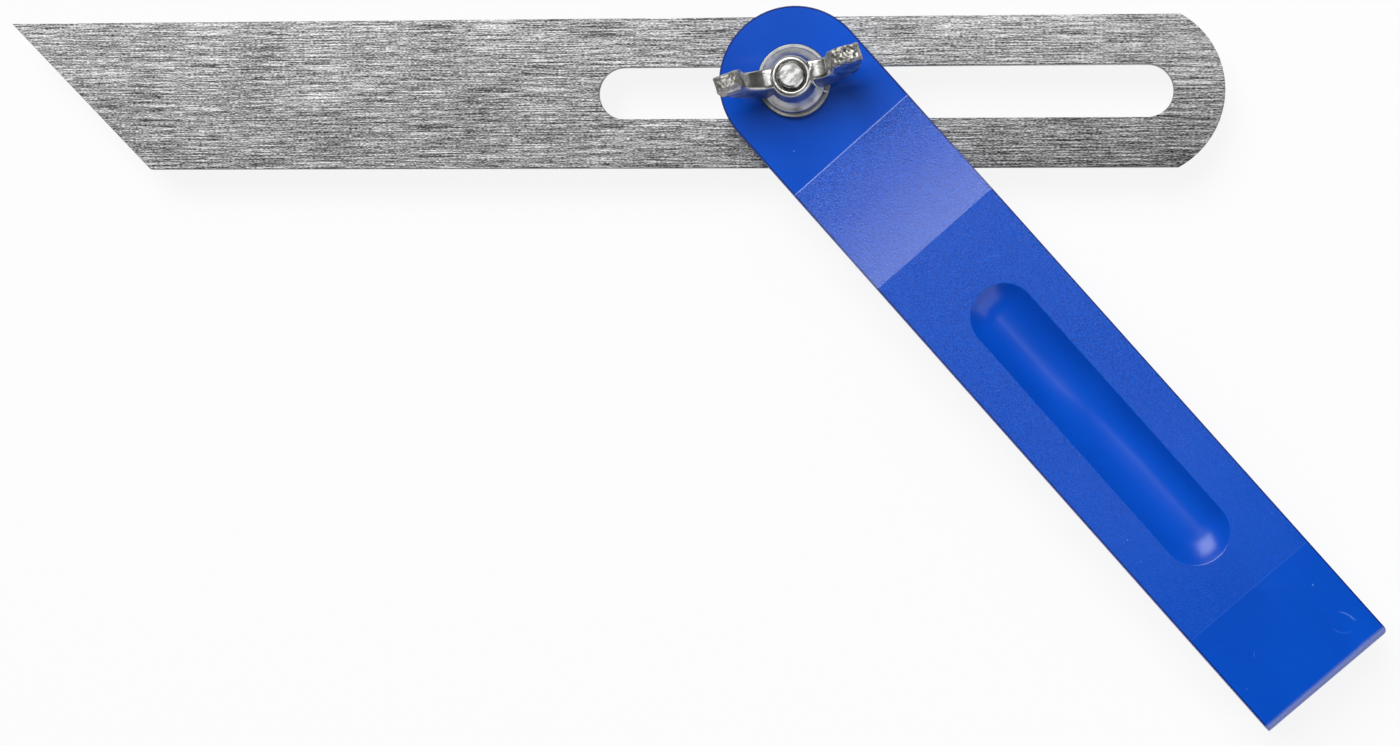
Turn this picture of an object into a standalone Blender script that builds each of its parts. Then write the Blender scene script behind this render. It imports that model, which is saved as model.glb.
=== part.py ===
"""Sliding bevel: a slotted steel blade that turns and slides on one bolt through a moulded stock.

Lengths are in metres. X runs along the blade towards its rounded tail, Z is up, and the origin
is on the pivot axis, in the plane that the stock lies on. The stock is modelled lying along its
own X axis and then turned about the pivot to the angle at which the bevel is set.
"""

import math

import bmesh
import bpy
from mathutils import Matrix

# Fits and steps that every piece shares
CLEARANCE = 0.0003
WELD_CLEARANCE_SHARE = 0.001
OVERRUN = 0.004
FACET_ANGLE = math.radians(5.0)
TURNED_STEPS = 60
CURVE_STEPS = 4
SHARP_EDGE_ANGLE = math.radians(40.0)
SMOOTH_FACE_ANGLE = math.radians(30.0)

# Blade: ground steel strip, cut at an angle at one end and rounded at the other
BLADE_LENGTH = 0.254
BLADE_WIDTH = 0.031
BLADE_THICKNESS = 0.0016
BLADE_CUT_ANGLE = math.radians(45.5)
TAIL_RADIUS_SHARE = 0.574
SLOT_LENGTH = 0.1175
SLOT_WIDTH = 0.0107
SLOT_TO_TAIL = 0.0102
PIVOT_TO_TAIL = 0.0868

# Stock: one moulding, two cheeks joined by a spine and a butt wall
SETTING_ANGLE = math.radians(-48.2)
STOCK_WIDTH = 0.0310
STOCK_REACH = 0.1608
PIVOT_CHEEK = 0.0050
RAMP_RISE = 0.0022
RAMP_START = 0.0174
RAMP_END = 0.0430
SPINE_THICKNESS = 0.0027
BUTT_WALL = 0.0030
EDGE_LAND = 0.0050
DRAFT_ANGLE = math.radians(2.0)
BUTT_FILLET = 0.00165
SPINE_CORNER_RADIUS = 0.0014
EDGE_RADIUS = 0.0003
SPINE_NOSE_RADIUS = 0.0012

# Finger groove, one in each face of the stock
GROOVE_START = 0.0572
GROOVE_LENGTH = 0.0707
GROOVE_WIDTH = 0.0133
GROOVE_DEPTH = 0.0030
GROOVE_HUMP = 0.0004
GROOVE_HUMP_SPAN = 0.006
GROOVE_HUMP_OFFSET = 0.0049
GROOVE_TILT = 0.0005
GROOVE_FLOOR_POWER = 2.4
GROOVE_RINGS = 8
GROOVE_SIDE_STEPS = 16

# Pivot bolt, hexagon head held in the underside of the stock
BOLT_DIAMETER = 0.0050
BOLT_CHAMFER = 0.0005
HEAD_ACROSS_FLATS = 0.0080
HEAD_HEIGHT = 0.0035
HEAD_CHAMFER_ANGLE = math.radians(30.0)
HEAD_FACE_SHARE = 0.95
THREAD_SHOWING = 0.0020

# Bush on the bolt, inside the blade's slot
BUSH_WALL = 0.0006

# Washer
WASHER_DIAMETER = 0.0150
WASHER_THICKNESS = 0.0012
WASHER_EDGE = 0.00015

# Wing nut
NUT_TURN = math.radians(10.9)
HUB_HEIGHT = 0.0080
HUB_BASE_RADIUS = 0.0065
HUB_TOP_RADIUS = 0.0042
HUB_EDGE = 0.0005
NUT_COUNTERSINK = 0.0004
WING_REACH = 0.0152
WING_HEIGHT = 0.0135
WING_ROOT_THICKNESS = 0.0058
WING_TIP_THICKNESS = 0.0026
WING_LEAN = 0.0008
WING_EDGE_RADIUS = 0.0007

# Outline of one wing seen from the side, as shares of the wing's reach and height
WING_OUTLINE_SHARES = (
    (0.22, 0.10),
    (0.42, 0.11),
    (0.68, 0.25),
    (0.88, 0.50),
    (0.98, 0.76),
    (0.985, 0.93),
    (0.93, 0.985),
    (0.76, 1.0),
    (0.665, 0.95),
    (0.615, 0.77),
    (0.50, 0.625),
    (0.36, 0.56),
    (0.22, 0.54),
)

# Outline of the hub below its top edge, as shares of the way from top to base
HUB_FLARE_SHARES = (
    (0.35, 0.08),
    (0.60, 0.30),
    (0.80, 0.68),
    (0.90, 0.93),
)

# Places and sizes that follow from the ones above
TAIL_RADIUS = BLADE_WIDTH * TAIL_RADIUS_SHARE
WELD_DISTANCE = CLEARANCE * WELD_CLEARANCE_SHARE
GAP_HALF = BLADE_THICKNESS / 2 + CLEARANCE
MIDDLE = RAMP_RISE + PIVOT_CHEEK + GAP_HALF
STOCK_TOP = 2 * MIDDLE
PAD_TOP = STOCK_TOP - RAMP_RISE
BOLT_RADIUS = BOLT_DIAMETER / 2
BORE_RADIUS = BOLT_RADIUS + CLEARANCE
BUSH_RADIUS = BORE_RADIUS + BUSH_WALL
SLOT_RADIUS = SLOT_WIDTH / 2
BLADE_SHIFT = -(SLOT_RADIUS - BUSH_RADIUS - CLEARANCE)
WASHER_BOTTOM = PAD_TOP + CLEARANCE
NUT_BOTTOM = WASHER_BOTTOM + WASHER_THICKNESS + CLEARANCE
BOLT_END = NUT_BOTTOM + HUB_HEIGHT + THREAD_SHOWING


def clear_scene():
    for old in list(bpy.data.objects):
        bpy.data.objects.remove(old, do_unlink=True)


def new_collection(name):
    made = bpy.data.collections.new(name)
    bpy.context.scene.collection.children.link(made)
    return made


def make_material(name, colour, roughness, metallic):
    material = bpy.data.materials.new(name)
    material.use_nodes = True
    shader = material.node_tree.nodes["Principled BSDF"]
    shader.inputs["Base Color"].default_value = (*colour, 1.0)
    shader.inputs["Roughness"].default_value = roughness
    shader.inputs["Metallic"].default_value = metallic
    return material


def add_object(name, mesh, collection):
    made = bpy.data.objects.new(name, mesh)
    collection.objects.link(made)
    return made


def add_cutter(name, mesh):
    """Adds a helper shape that is subtracted or intersected, and isn't a piece of the tool."""
    cutter = add_object(name, mesh, CUTTERS)
    cutter.hide_render = True
    cutter.display_type = "WIRE"
    return cutter


def mesh_of(source, name):
    """The evaluated shape of an object as a welded mesh, in that object's own frame."""
    bpy.context.view_layer.update()
    graph = bpy.context.evaluated_depsgraph_get()
    mesh = bpy.data.meshes.new_from_object(source.evaluated_get(graph))
    mesh.name = name
    shape = bmesh.new()
    shape.from_mesh(mesh)
    bmesh.ops.remove_doubles(shape, verts=shape.verts, dist=WELD_DISTANCE)
    shape.to_mesh(mesh)
    shape.free()
    return mesh


def arc(centre, radius, start, end):
    """Points on an arc in the plane, both ends included, turning from start to end in radians."""
    steps = max(1, round(abs(end - start) / FACET_ANGLE))
    angles = [start + (end - start) * step / steps for step in range(steps + 1)]
    return [
        (centre[0] + radius * math.cos(a), centre[1] + radius * math.sin(a)) for a in angles
    ]


def plate_mesh(name, outlines, thickness, smooth=False, edge=0.0):
    """A flat plate about the plane z = 0. The first outline is its rim, any others are holes."""
    curve = bpy.data.curves.new(name, "CURVE")
    curve.dimensions = "2D"
    curve.fill_mode = "BOTH"
    curve.extrude = thickness / 2 - edge
    curve.bevel_depth = edge
    curve.bevel_resolution = 2
    curve.offset = -edge
    for outline in outlines:
        spline = curve.splines.new("BEZIER" if smooth else "POLY")
        points = spline.bezier_points if smooth else spline.points
        points.add(len(outline) - 1)
        for point, (x, y) in zip(points, outline):
            point.co = (x, y, 0.0) if smooth else (x, y, 0.0, 1.0)
            if smooth:
                point.handle_left_type = "AUTO"
                point.handle_right_type = "AUTO"
        spline.resolution_u = CURVE_STEPS
        spline.use_cyclic_u = True
    holder = add_object(name + "_curve", curve, CUTTERS)
    mesh = mesh_of(holder, name)
    bpy.data.objects.remove(holder, do_unlink=True)
    return mesh


def turned_mesh(name, profile):
    """A shape turned about Z from (radius, height) points that run down its outer side."""
    shape = bmesh.new()
    corners = [shape.verts.new((radius, 0.0, height)) for radius, height in profile]
    for upper, lower in zip(corners, corners[1:]):
        shape.edges.new((upper, lower))
    line = bpy.data.meshes.new(name + "_profile")
    shape.to_mesh(line)
    shape.free()
    holder = add_object(name + "_turning", line, CUTTERS)
    screw = holder.modifiers.new("turn", "SCREW")
    screw.steps = TURNED_STEPS
    screw.render_steps = TURNED_STEPS
    screw.use_merge_vertices = True
    screw.merge_threshold = WELD_DISTANCE
    mesh = mesh_of(holder, name)
    bpy.data.objects.remove(holder, do_unlink=True)
    return mesh


def loft_mesh(name, loops, starts_as_line=False):
    """A closed skin through loops of equally many points. A first loop that is folded into a line
    needs no face of its own."""
    shape = bmesh.new()
    rings = [[shape.verts.new(point) for point in loop] for loop in loops]
    count = len(rings[0])
    for lower, upper in zip(rings, rings[1:]):
        for i in range(count):
            j = (i + 1) % count
            shape.faces.new((lower[i], lower[j], upper[j], upper[i]))
    if not starts_as_line:
        shape.faces.new(rings[0])
    shape.faces.new(rings[-1])
    bmesh.ops.remove_doubles(shape, verts=shape.verts, dist=WELD_DISTANCE)
    bmesh.ops.recalc_face_normals(shape, faces=shape.faces)
    mesh = bpy.data.meshes.new(name)
    shape.to_mesh(mesh)
    shape.free()
    return mesh


def combine(target, cutter, operation):
    """Cuts, joins or intersects one object with another."""
    modifier = target.modifiers.new(operation.lower() + "_" + cutter.name, "BOOLEAN")
    modifier.operation = operation
    modifier.object = cutter
    modifier.solver = "EXACT"


def settle(piece):
    """Replaces an object's mesh with its evaluated shape, and drops its modifiers."""
    mesh = mesh_of(piece, piece.name)
    piece.modifiers.clear()
    piece.data = mesh


def finish(piece, material):
    settle(piece)
    piece.data.materials.clear()
    piece.data.materials.append(material)
    piece.data.shade_smooth()
    piece.data.set_sharp_from_angle(angle=SMOOTH_FACE_ANGLE)
    return piece


def stock_plan(inset):
    """Plan of the stock, its sides drawn in by the draft: round pivot end, square butt."""
    half = STOCK_WIDTH / 2 - inset
    corner = (STOCK_REACH - SPINE_CORNER_RADIUS, half - SPINE_CORNER_RADIUS)
    return [
        *arc((0.0, 0.0), half, math.pi / 2, 3 * math.pi / 2),
        (STOCK_REACH, -half),
        *arc(corner, SPINE_CORNER_RADIUS, 0.0, math.pi / 2),
    ]


def stock_side():
    """Outline of the stock from the side: pivot pads, ramps, grip and filleted butt."""
    run = RAMP_END - RAMP_START
    sweep = 2 * math.atan(RAMP_RISE / run)
    radius = run / math.sin(sweep)
    past_pivot = -(STOCK_WIDTH / 2 + OVERRUN)
    upper = [(past_pivot, PAD_TOP)]
    upper += arc((RAMP_START, PAD_TOP + radius), radius, -math.pi / 2, -math.pi / 2 + sweep)
    centre = (STOCK_REACH - BUTT_FILLET, STOCK_TOP - BUTT_FILLET)
    upper += arc(centre, BUTT_FILLET, math.pi / 2, 0.0)
    lower = [(x, STOCK_TOP - z) for x, z in reversed(upper)]
    return upper + lower


def gap_plan():
    """Plan of the blade's gap: open round the pivot and along one side, closed by spine and butt."""
    spine = STOCK_WIDTH / 2 - SPINE_THICKNESS
    past_side = STOCK_WIDTH / 2 + OVERRUN
    inner_end = STOCK_REACH - BUTT_WALL
    nose = (RAMP_END + SPINE_NOSE_RADIUS, spine + SPINE_NOSE_RADIUS)
    return [
        (-past_side, -past_side),
        (inner_end, -past_side),
        (inner_end, spine),
        *arc(nose, SPINE_NOSE_RADIUS, -math.pi / 2, -math.pi),
        (RAMP_END, past_side),
        (-past_side, past_side),
    ]


def groove_floor(along, across):
    """Depth of the groove at a point: flat in the middle, steep at the rim, with a hump between two
    scoops that lean slightly to opposite sides."""
    straight = (GROOVE_LENGTH - GROOVE_WIDTH) / 2
    past_end = max(abs(along) - straight, 0.0)
    out = math.hypot(past_end, across) / (GROOVE_WIDTH / 2)
    from_hump = (along + GROOVE_HUMP_OFFSET) / GROOVE_HUMP_SPAN
    depth = GROOVE_DEPTH - GROOVE_HUMP * math.exp(-(from_hump**2))
    lean = GROOVE_TILT * math.tanh(from_hump) * across / (GROOVE_WIDTH / 2)
    return -(depth * (1 - out**GROOVE_FLOOR_POWER) + lean * max(1 - out**2, 0.0))


def groove_ring(radius):
    """Points round a rounded slot of that radius, along the same middle line for every radius."""
    straight = (GROOVE_LENGTH - GROOVE_WIDTH) / 2
    spots = [straight * (2 * step / GROOVE_SIDE_STEPS - 1) for step in range(GROOVE_SIDE_STEPS)]
    ring = [(x, -radius) for x in spots]
    ring += arc((straight, 0.0), radius, -math.pi / 2, math.pi / 2)[:-1]
    ring += [(-x, radius) for x in spots]
    ring += arc((-straight, 0.0), radius, math.pi / 2, 3 * math.pi / 2)[:-1]
    return ring


def groove_cutter(name, face_height, side):
    """A cutter whose rounded lower side leaves the finger groove in one face of the stock."""
    half_width = GROOVE_WIDTH / 2
    middle = GROOVE_START + GROOVE_LENGTH / 2
    loops = []
    for step in range(GROOVE_RINGS + 2):
        radius = half_width * step / GROOVE_RINGS
        loops.append([(x, y, groove_floor(x, y)) for x, y in groove_ring(radius)])
    loops.append([(x, y, OVERRUN) for x, y in groove_ring(radius)])
    placed = [
        [(middle + x, y, face_height + side * z) for x, y, z in loop] for loop in loops
    ]
    return add_cutter(name, loft_mesh(name, placed, starts_as_line=True))


def hexagon(across_flats):
    radius = across_flats / 2 / math.cos(math.pi / 6)
    return [
        (radius * math.cos(k * math.pi / 3), radius * math.sin(k * math.pi / 3)) for k in range(6)
    ]


def make_stock(material):
    drawn_in = math.tan(DRAFT_ANGLE) * (MIDDLE - EDGE_LAND / 2)
    levels = (
        (0.0, drawn_in),
        (MIDDLE - EDGE_LAND / 2, 0.0),
        (MIDDLE + EDGE_LAND / 2, 0.0),
        (STOCK_TOP, drawn_in),
    )
    loops = [[(x, y, z) for x, y in stock_plan(inset)] for z, inset in levels]
    stock = add_object("stock", loft_mesh("stock", loops), PARTS)

    side = add_cutter("side_view", plate_mesh("side_view", [stock_side()], 2 * STOCK_WIDTH))
    side.matrix_world = Matrix.Rotation(math.pi / 2, 4, "X")
    combine(stock, side, "INTERSECT")
    bevel = stock.modifiers.new("edges", "BEVEL")
    bevel.width = EDGE_RADIUS
    bevel.segments = 2
    bevel.limit_method = "ANGLE"
    bevel.angle_limit = SHARP_EDGE_ANGLE
    settle(stock)

    gap = add_cutter("blade_gap", plate_mesh("blade_gap", [gap_plan()], 2 * GAP_HALF))
    gap.location.z = MIDDLE
    combine(stock, gap, "DIFFERENCE")
    combine(stock, groove_cutter("groove_above", STOCK_TOP, 1), "DIFFERENCE")
    combine(stock, groove_cutter("groove_below", 0.0, -1), "DIFFERENCE")
    bore_profile = [
        (0.0, STOCK_TOP + OVERRUN),
        (BORE_RADIUS, STOCK_TOP + OVERRUN),
        (BORE_RADIUS, -OVERRUN),
        (0.0, -OVERRUN),
    ]
    bore = add_cutter("stock_bore", turned_mesh("stock_bore", bore_profile))
    combine(stock, bore, "DIFFERENCE")
    pocket_top = HEAD_HEIGHT + CLEARANCE
    pocket_plan = [hexagon(HEAD_ACROSS_FLATS + 2 * CLEARANCE)]
    pocket_mesh = plate_mesh("head_pocket", pocket_plan, 2 * pocket_top)
    combine(stock, add_cutter("head_pocket", pocket_mesh), "DIFFERENCE")
    finish(stock, material)
    stock.rotation_euler.z = SETTING_ANGLE
    return stock


def make_blade(material):
    half = BLADE_WIDTH / 2
    middle = BLADE_SHIFT
    tail = PIVOT_TO_TAIL
    tip = tail - BLADE_LENGTH
    corner = math.asin(half / TAIL_RADIUS)
    rim = [(tip, middle + half), (tip + BLADE_WIDTH / math.tan(BLADE_CUT_ANGLE), middle - half)]
    rim += arc((tail - TAIL_RADIUS, middle), TAIL_RADIUS, -corner, corner)
    right = tail - SLOT_TO_TAIL - SLOT_RADIUS
    left = right - (SLOT_LENGTH - SLOT_WIDTH)
    slot = arc((left, middle), SLOT_RADIUS, math.pi / 2, 3 * math.pi / 2)
    slot += arc((right, middle), SLOT_RADIUS, -math.pi / 2, math.pi / 2)
    blade = add_object("blade", plate_mesh("blade", [rim, slot], BLADE_THICKNESS), PARTS)
    blade.location.z = MIDDLE
    return finish(blade, material)


def make_pivot_bolt(material):
    shank_profile = [
        (0.0, BOLT_END),
        (BOLT_RADIUS - BOLT_CHAMFER, BOLT_END),
        (BOLT_RADIUS, BOLT_END - BOLT_CHAMFER),
        (BOLT_RADIUS, HEAD_HEIGHT / 2),
        (0.0, HEAD_HEIGHT / 2),
    ]
    bolt = add_object("pivot_bolt", turned_mesh("pivot_bolt", shank_profile), PARTS)
    head_mesh = plate_mesh("bolt_head", [hexagon(HEAD_ACROSS_FLATS)], HEAD_HEIGHT)
    head = add_cutter("bolt_head", head_mesh)
    head.location.z = HEAD_HEIGHT / 2
    face_radius = HEAD_FACE_SHARE * HEAD_ACROSS_FLATS / 2
    cone_height = face_radius * math.tan(HEAD_CHAMFER_ANGLE)
    cone_profile = [
        (0.0, HEAD_HEIGHT + OVERRUN),
        (2 * face_radius, HEAD_HEIGHT + OVERRUN),
        (2 * face_radius, cone_height),
        (face_radius, 0.0),
        (0.0, 0.0),
    ]
    cone = add_cutter("head_chamfer", turned_mesh("head_chamfer", cone_profile))
    combine(head, cone, "INTERSECT")
    combine(bolt, head, "UNION")
    finish(bolt, material)
    bolt.rotation_euler.z = SETTING_ANGLE
    return bolt


def make_pivot_bush(material):
    half = BLADE_THICKNESS / 2
    profile = [
        (BORE_RADIUS, half),
        (BUSH_RADIUS, half),
        (BUSH_RADIUS, -half),
        (BORE_RADIUS, -half),
        (BORE_RADIUS, half),
    ]
    bush = add_object("pivot_bush", turned_mesh("pivot_bush", profile), PARTS)
    bush.location.z = MIDDLE
    return finish(bush, material)


def make_washer(material):
    outer = WASHER_DIAMETER / 2
    profile = [
        (BORE_RADIUS, WASHER_THICKNESS),
        (outer - WASHER_EDGE, WASHER_THICKNESS),
        (outer, WASHER_THICKNESS - WASHER_EDGE),
        (outer, WASHER_EDGE),
        (outer - WASHER_EDGE, 0.0),
        (BORE_RADIUS, 0.0),
        (BORE_RADIUS, WASHER_THICKNESS),
    ]
    washer = add_object("washer", turned_mesh("washer", profile), PARTS)
    washer.location.z = WASHER_BOTTOM
    return finish(washer, material)


def wing_mesh(name, side):
    """One cast wing, thick at its root, thinner towards its tip and leaning slightly to one side."""
    outline = [(WING_REACH * x, WING_HEIGHT * z) for x, z in WING_OUTLINE_SHARES]
    mesh = plate_mesh(
        name, [outline], WING_ROOT_THICKNESS, smooth=True, edge=WING_EDGE_RADIUS
    )
    thinning = 1 - WING_TIP_THICKNESS / WING_ROOT_THICKNESS
    for vertex in mesh.vertices:
        x, height, across = vertex.co
        rise = min(max(height / WING_HEIGHT, 0.0), 1.0)
        width = -side * across * (1 - thinning * rise)
        vertex.co = (side * x, width + WING_LEAN * rise, height)
    return mesh


def make_wing_nut(material):
    drop = HUB_HEIGHT - 2 * HUB_EDGE
    flare = HUB_BASE_RADIUS - HUB_TOP_RADIUS
    outside = [(HUB_TOP_RADIUS - HUB_EDGE, HUB_HEIGHT), (HUB_TOP_RADIUS, HUB_HEIGHT - HUB_EDGE)]
    for down, out in HUB_FLARE_SHARES:
        outside.append((HUB_TOP_RADIUS + flare * out, HUB_HEIGHT - HUB_EDGE - drop * down))
    outside += [(HUB_BASE_RADIUS, HUB_EDGE), (HUB_BASE_RADIUS - HUB_EDGE, 0.0)]
    hub_profile = [(0.0, HUB_HEIGHT), *outside, (0.0, 0.0)]
    nut = add_object("wing_nut", turned_mesh("wing_nut", hub_profile), PARTS)
    for name, side in (("wing_right", 1), ("wing_left", -1)):
        combine(nut, add_cutter(name, wing_mesh(name, side)), "UNION")
    rim = BORE_RADIUS + NUT_COUNTERSINK
    bore_profile = [
        (0.0, HUB_HEIGHT + OVERRUN),
        (rim + OVERRUN, HUB_HEIGHT + OVERRUN),
        (BORE_RADIUS, HUB_HEIGHT - NUT_COUNTERSINK),
        (BORE_RADIUS, -OVERRUN),
        (0.0, -OVERRUN),
    ]
    bore = add_cutter("nut_bore", turned_mesh("nut_bore", bore_profile))
    combine(nut, bore, "DIFFERENCE")
    finish(nut, material)
    nut.location.z = NUT_BOTTOM
    nut.rotation_euler.z = NUT_TURN
    return nut


clear_scene()
PARTS = new_collection("sliding_bevel")
CUTTERS = new_collection("cutters")
BLUE_PLASTIC = make_material("blue_plastic", (0.003, 0.08, 0.56), 0.35, 0.0)
BRUSHED_STEEL = make_material("brushed_steel", (0.48, 0.47, 0.45), 0.35, 1.0)
ZINC_PLATE = make_material("zinc_plate", (0.62, 0.62, 0.60), 0.30, 1.0)

make_stock(BLUE_PLASTIC)
make_blade(BRUSHED_STEEL)
make_pivot_bolt(ZINC_PLATE)
make_pivot_bush(ZINC_PLATE)
make_washer(ZINC_PLATE)
make_wing_nut(ZINC_PLATE)
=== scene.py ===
# %% [markdown]
# # A sliding bevel, dressed over its CAD frame
#
# A sliding bevel copies an angle. A slotted steel blade turns and slides on one bolt that runs
# through a plastic stock, and a wing nut locks it. The CAD model is loaded as a fixed frame:
# every piece below sits where that model says and rides on one of its bodies.

import math
from contextlib import contextmanager

import bmesh
import bpy
from mathutils import Matrix, Vector, noise


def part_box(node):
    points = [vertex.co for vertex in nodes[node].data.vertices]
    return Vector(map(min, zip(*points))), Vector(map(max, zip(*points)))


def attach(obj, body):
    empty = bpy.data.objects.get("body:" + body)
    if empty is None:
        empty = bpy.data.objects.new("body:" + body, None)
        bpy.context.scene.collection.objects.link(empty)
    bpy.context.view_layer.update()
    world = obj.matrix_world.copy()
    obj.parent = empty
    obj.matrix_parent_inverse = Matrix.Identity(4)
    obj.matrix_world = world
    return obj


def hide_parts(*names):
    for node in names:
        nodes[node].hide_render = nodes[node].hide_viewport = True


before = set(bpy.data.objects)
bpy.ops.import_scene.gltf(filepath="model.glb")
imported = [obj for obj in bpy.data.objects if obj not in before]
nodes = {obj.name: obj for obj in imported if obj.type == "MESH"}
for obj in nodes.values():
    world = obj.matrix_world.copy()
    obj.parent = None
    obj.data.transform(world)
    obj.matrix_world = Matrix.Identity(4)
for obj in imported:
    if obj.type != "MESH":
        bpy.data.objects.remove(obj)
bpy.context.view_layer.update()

# %% [markdown]
# The tool is laid out along two directions: the blade lies along X, and the stock leaves the
# pivot at the angle to which the bevel is set. Most marks on the stock are easiest to place by
# their distance along it, so that direction gets a name of its own. Heights that the CAD model
# already has are read from the frame and not typed in again.

# %% Sizes shared by several pieces
MM = 0.001
SETTING = math.radians(-48.2)
ALONG_STOCK = Vector((math.cos(SETTING), math.sin(SETTING), 0.0))
ACROSS_STOCK = Vector((-math.sin(SETTING), math.cos(SETTING), 0.0))
STOCK_LOW, STOCK_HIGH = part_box("stock")
STOCK_BOTTOM, STOCK_TOP = STOCK_LOW.z, STOCK_HIGH.z
STOCK_MIDDLE = (STOCK_BOTTOM + STOCK_TOP) / 2
print("stock from", round(STOCK_BOTTOM / MM, 2), "to", round(STOCK_TOP / MM, 2), "mm high")

# %% [markdown]
# The camera stands where the photographer's did: nearly straight above, with a lens a little
# longer than a normal one. Its place was fitted to points that are easy to find in the picture
# and on the model, such as the blade's corners, the slot's ends and the bolt's end. The picture's
# own centre is the lens's centre, so no shift is needed.

# %% Camera
PHOTO_WIDTH = 1400
FOCAL_PIXELS = 2318.0
SENSOR_WIDTH = 36.0
NEAREST_SEEN = 10 * MM
CAMERA_PLACE = Vector((0.0301, -0.0536, 0.4859))
CAMERA_FORWARD = Vector((-0.1034, -0.0123, -0.9946)).normalized()
CAMERA_UP = Vector((-0.0069, 0.9999, -0.0116))


def add_object(name, data):
    """Puts an object in the scene, round a mesh, a curve, a lamp or a camera."""
    made = bpy.data.objects.new(name, data)
    bpy.context.scene.collection.objects.link(made)
    return made


lens = bpy.data.cameras.new("camera")
lens.sensor_width = SENSOR_WIDTH
lens.lens = FOCAL_PIXELS / PHOTO_WIDTH * SENSOR_WIDTH
lens.clip_start = NEAREST_SEEN
camera = add_object("camera", lens)
right = CAMERA_FORWARD.cross(CAMERA_UP).normalized()
up = right.cross(CAMERA_FORWARD)
axes = Matrix((right, up, -CAMERA_FORWARD)).transposed()
camera.matrix_world = Matrix.Translation(CAMERA_PLACE) @ axes.to_4x4()
bpy.context.scene.camera = camera
print("lens", round(lens.lens, 1), "mm")

# %% [markdown]
# A finish is a sum of masks and noises, and such sums are easier to read as Python than as a
# drawing of Math nodes. `Wire` wraps a socket, so that `1 - mask` or `a * b` adds the nodes for
# it. `step` and `within` make the soft-edged masks that nearly every finish below is built from.

# %% Sums of sockets
class Wire:
    """A node's output socket that can be used in sums."""

    def __init__(self, owner, socket):
        self.owner = owner
        self.socket = socket

    def __add__(self, other):
        return self.owner.sum_of("ADD", self, other)

    def __sub__(self, other):
        return self.owner.sum_of("SUBTRACT", self, other)

    def __rsub__(self, other):
        return self.owner.sum_of("SUBTRACT", other, self)

    def __mul__(self, other):
        return self.owner.sum_of("MULTIPLY", self, other)

    def __truediv__(self, other):
        return self.owner.sum_of("DIVIDE", self, other)

    def __pow__(self, other):
        return self.owner.sum_of("POWER", self, other)

    __radd__ = __add__
    __rmul__ = __mul__

    def size(self):
        return self.owner.sum_of("ABSOLUTE", self)

    def lesser(self, other):
        return self.owner.sum_of("MINIMUM", self, other)

    def greater(self, other):
        return self.owner.sum_of("MAXIMUM", self, other)

    def step(self, low, high):
        """Rises smoothly from 0 at low to 1 at high."""
        settings = {"interpolation_type": "SMOOTHSTEP"}
        return self.owner.node("MapRange", settings, {0: self, 1: low, 2: high})

    def within(self, reach, core):
        """1 for values up to that share of the reach, falling smoothly to 0 at the reach."""
        return 1 - self.step(core * reach, reach)


def flat_distance(x, y):
    """The length of a step in the plane, from its two parts."""
    return (x * x + y * y) ** 0.5


def strongest(masks):
    """The greatest of several masks at each point."""
    result, *others = masks
    for mask in others:
        result = result.greater(mask)
    return result


print("sums of sockets ready")

# %% [markdown]
# Every other node comes from one method, which takes the node's type, its settings and the values
# or links of its sockets. `Nodes` holds that method for any tree. `Finish` is a material's tree
# and adds what the finishes share: coordinates in a turned and stretched frame, noise, colour
# mixes and bumps. All finishes read Object coordinates, in metres, so that a pattern keeps its
# real size and rides with its piece.

# %% Trees of nodes
MIX_FIRST_COLOUR, MIX_SECOND_COLOUR, MIX_COLOUR_RESULT = 6, 7, 2
WHITE = (1.0, 1.0, 1.0, 1.0)


def set_stops(ramp, stops):
    """Gives a colour ramp its stops, each a position and a grey level."""
    while len(ramp.elements) < len(stops):
        ramp.elements.new(0.5)
    for element, (position, level) in zip(ramp.elements, stops):
        element.position = position
        element.color = (level, level, level, 1.0)


class Nodes:
    """A tree of nodes under construction."""

    def __init__(self, tree):
        self.tree = tree

    def family(self, kind):
        """The first word of a node type's full name."""
        return "ShaderNode"

    def node(self, kind, settings=None, inputs=None, output=0):
        """Adds a node and returns one of its outputs."""
        made = self.tree.nodes.new(self.family(kind) + kind)
        for setting, value in (settings or {}).items():
            if setting == "stops":
                set_stops(made.color_ramp, value)
            else:
                setattr(made, setting, value)
        for socket, value in (inputs or {}).items():
            self.feed(made.inputs[socket], value)
        return Wire(self, made.outputs[output])

    def feed(self, socket, value):
        """Links a wire to a socket, or sets a plain value on it."""
        if isinstance(value, Wire):
            self.tree.links.new(value.socket, socket)
        else:
            socket.default_value = value

    def sum_of(self, operation, *values):
        """Adds a Math node for values that are plain numbers or wires."""
        return self.node("Math", {"operation": operation}, dict(enumerate(values)))

    def split(self, vector):
        """The three parts of a vector."""
        made = self.node("SeparateXYZ", None, {0: vector}).socket.node
        return [Wire(self, part) for part in made.outputs]


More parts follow.
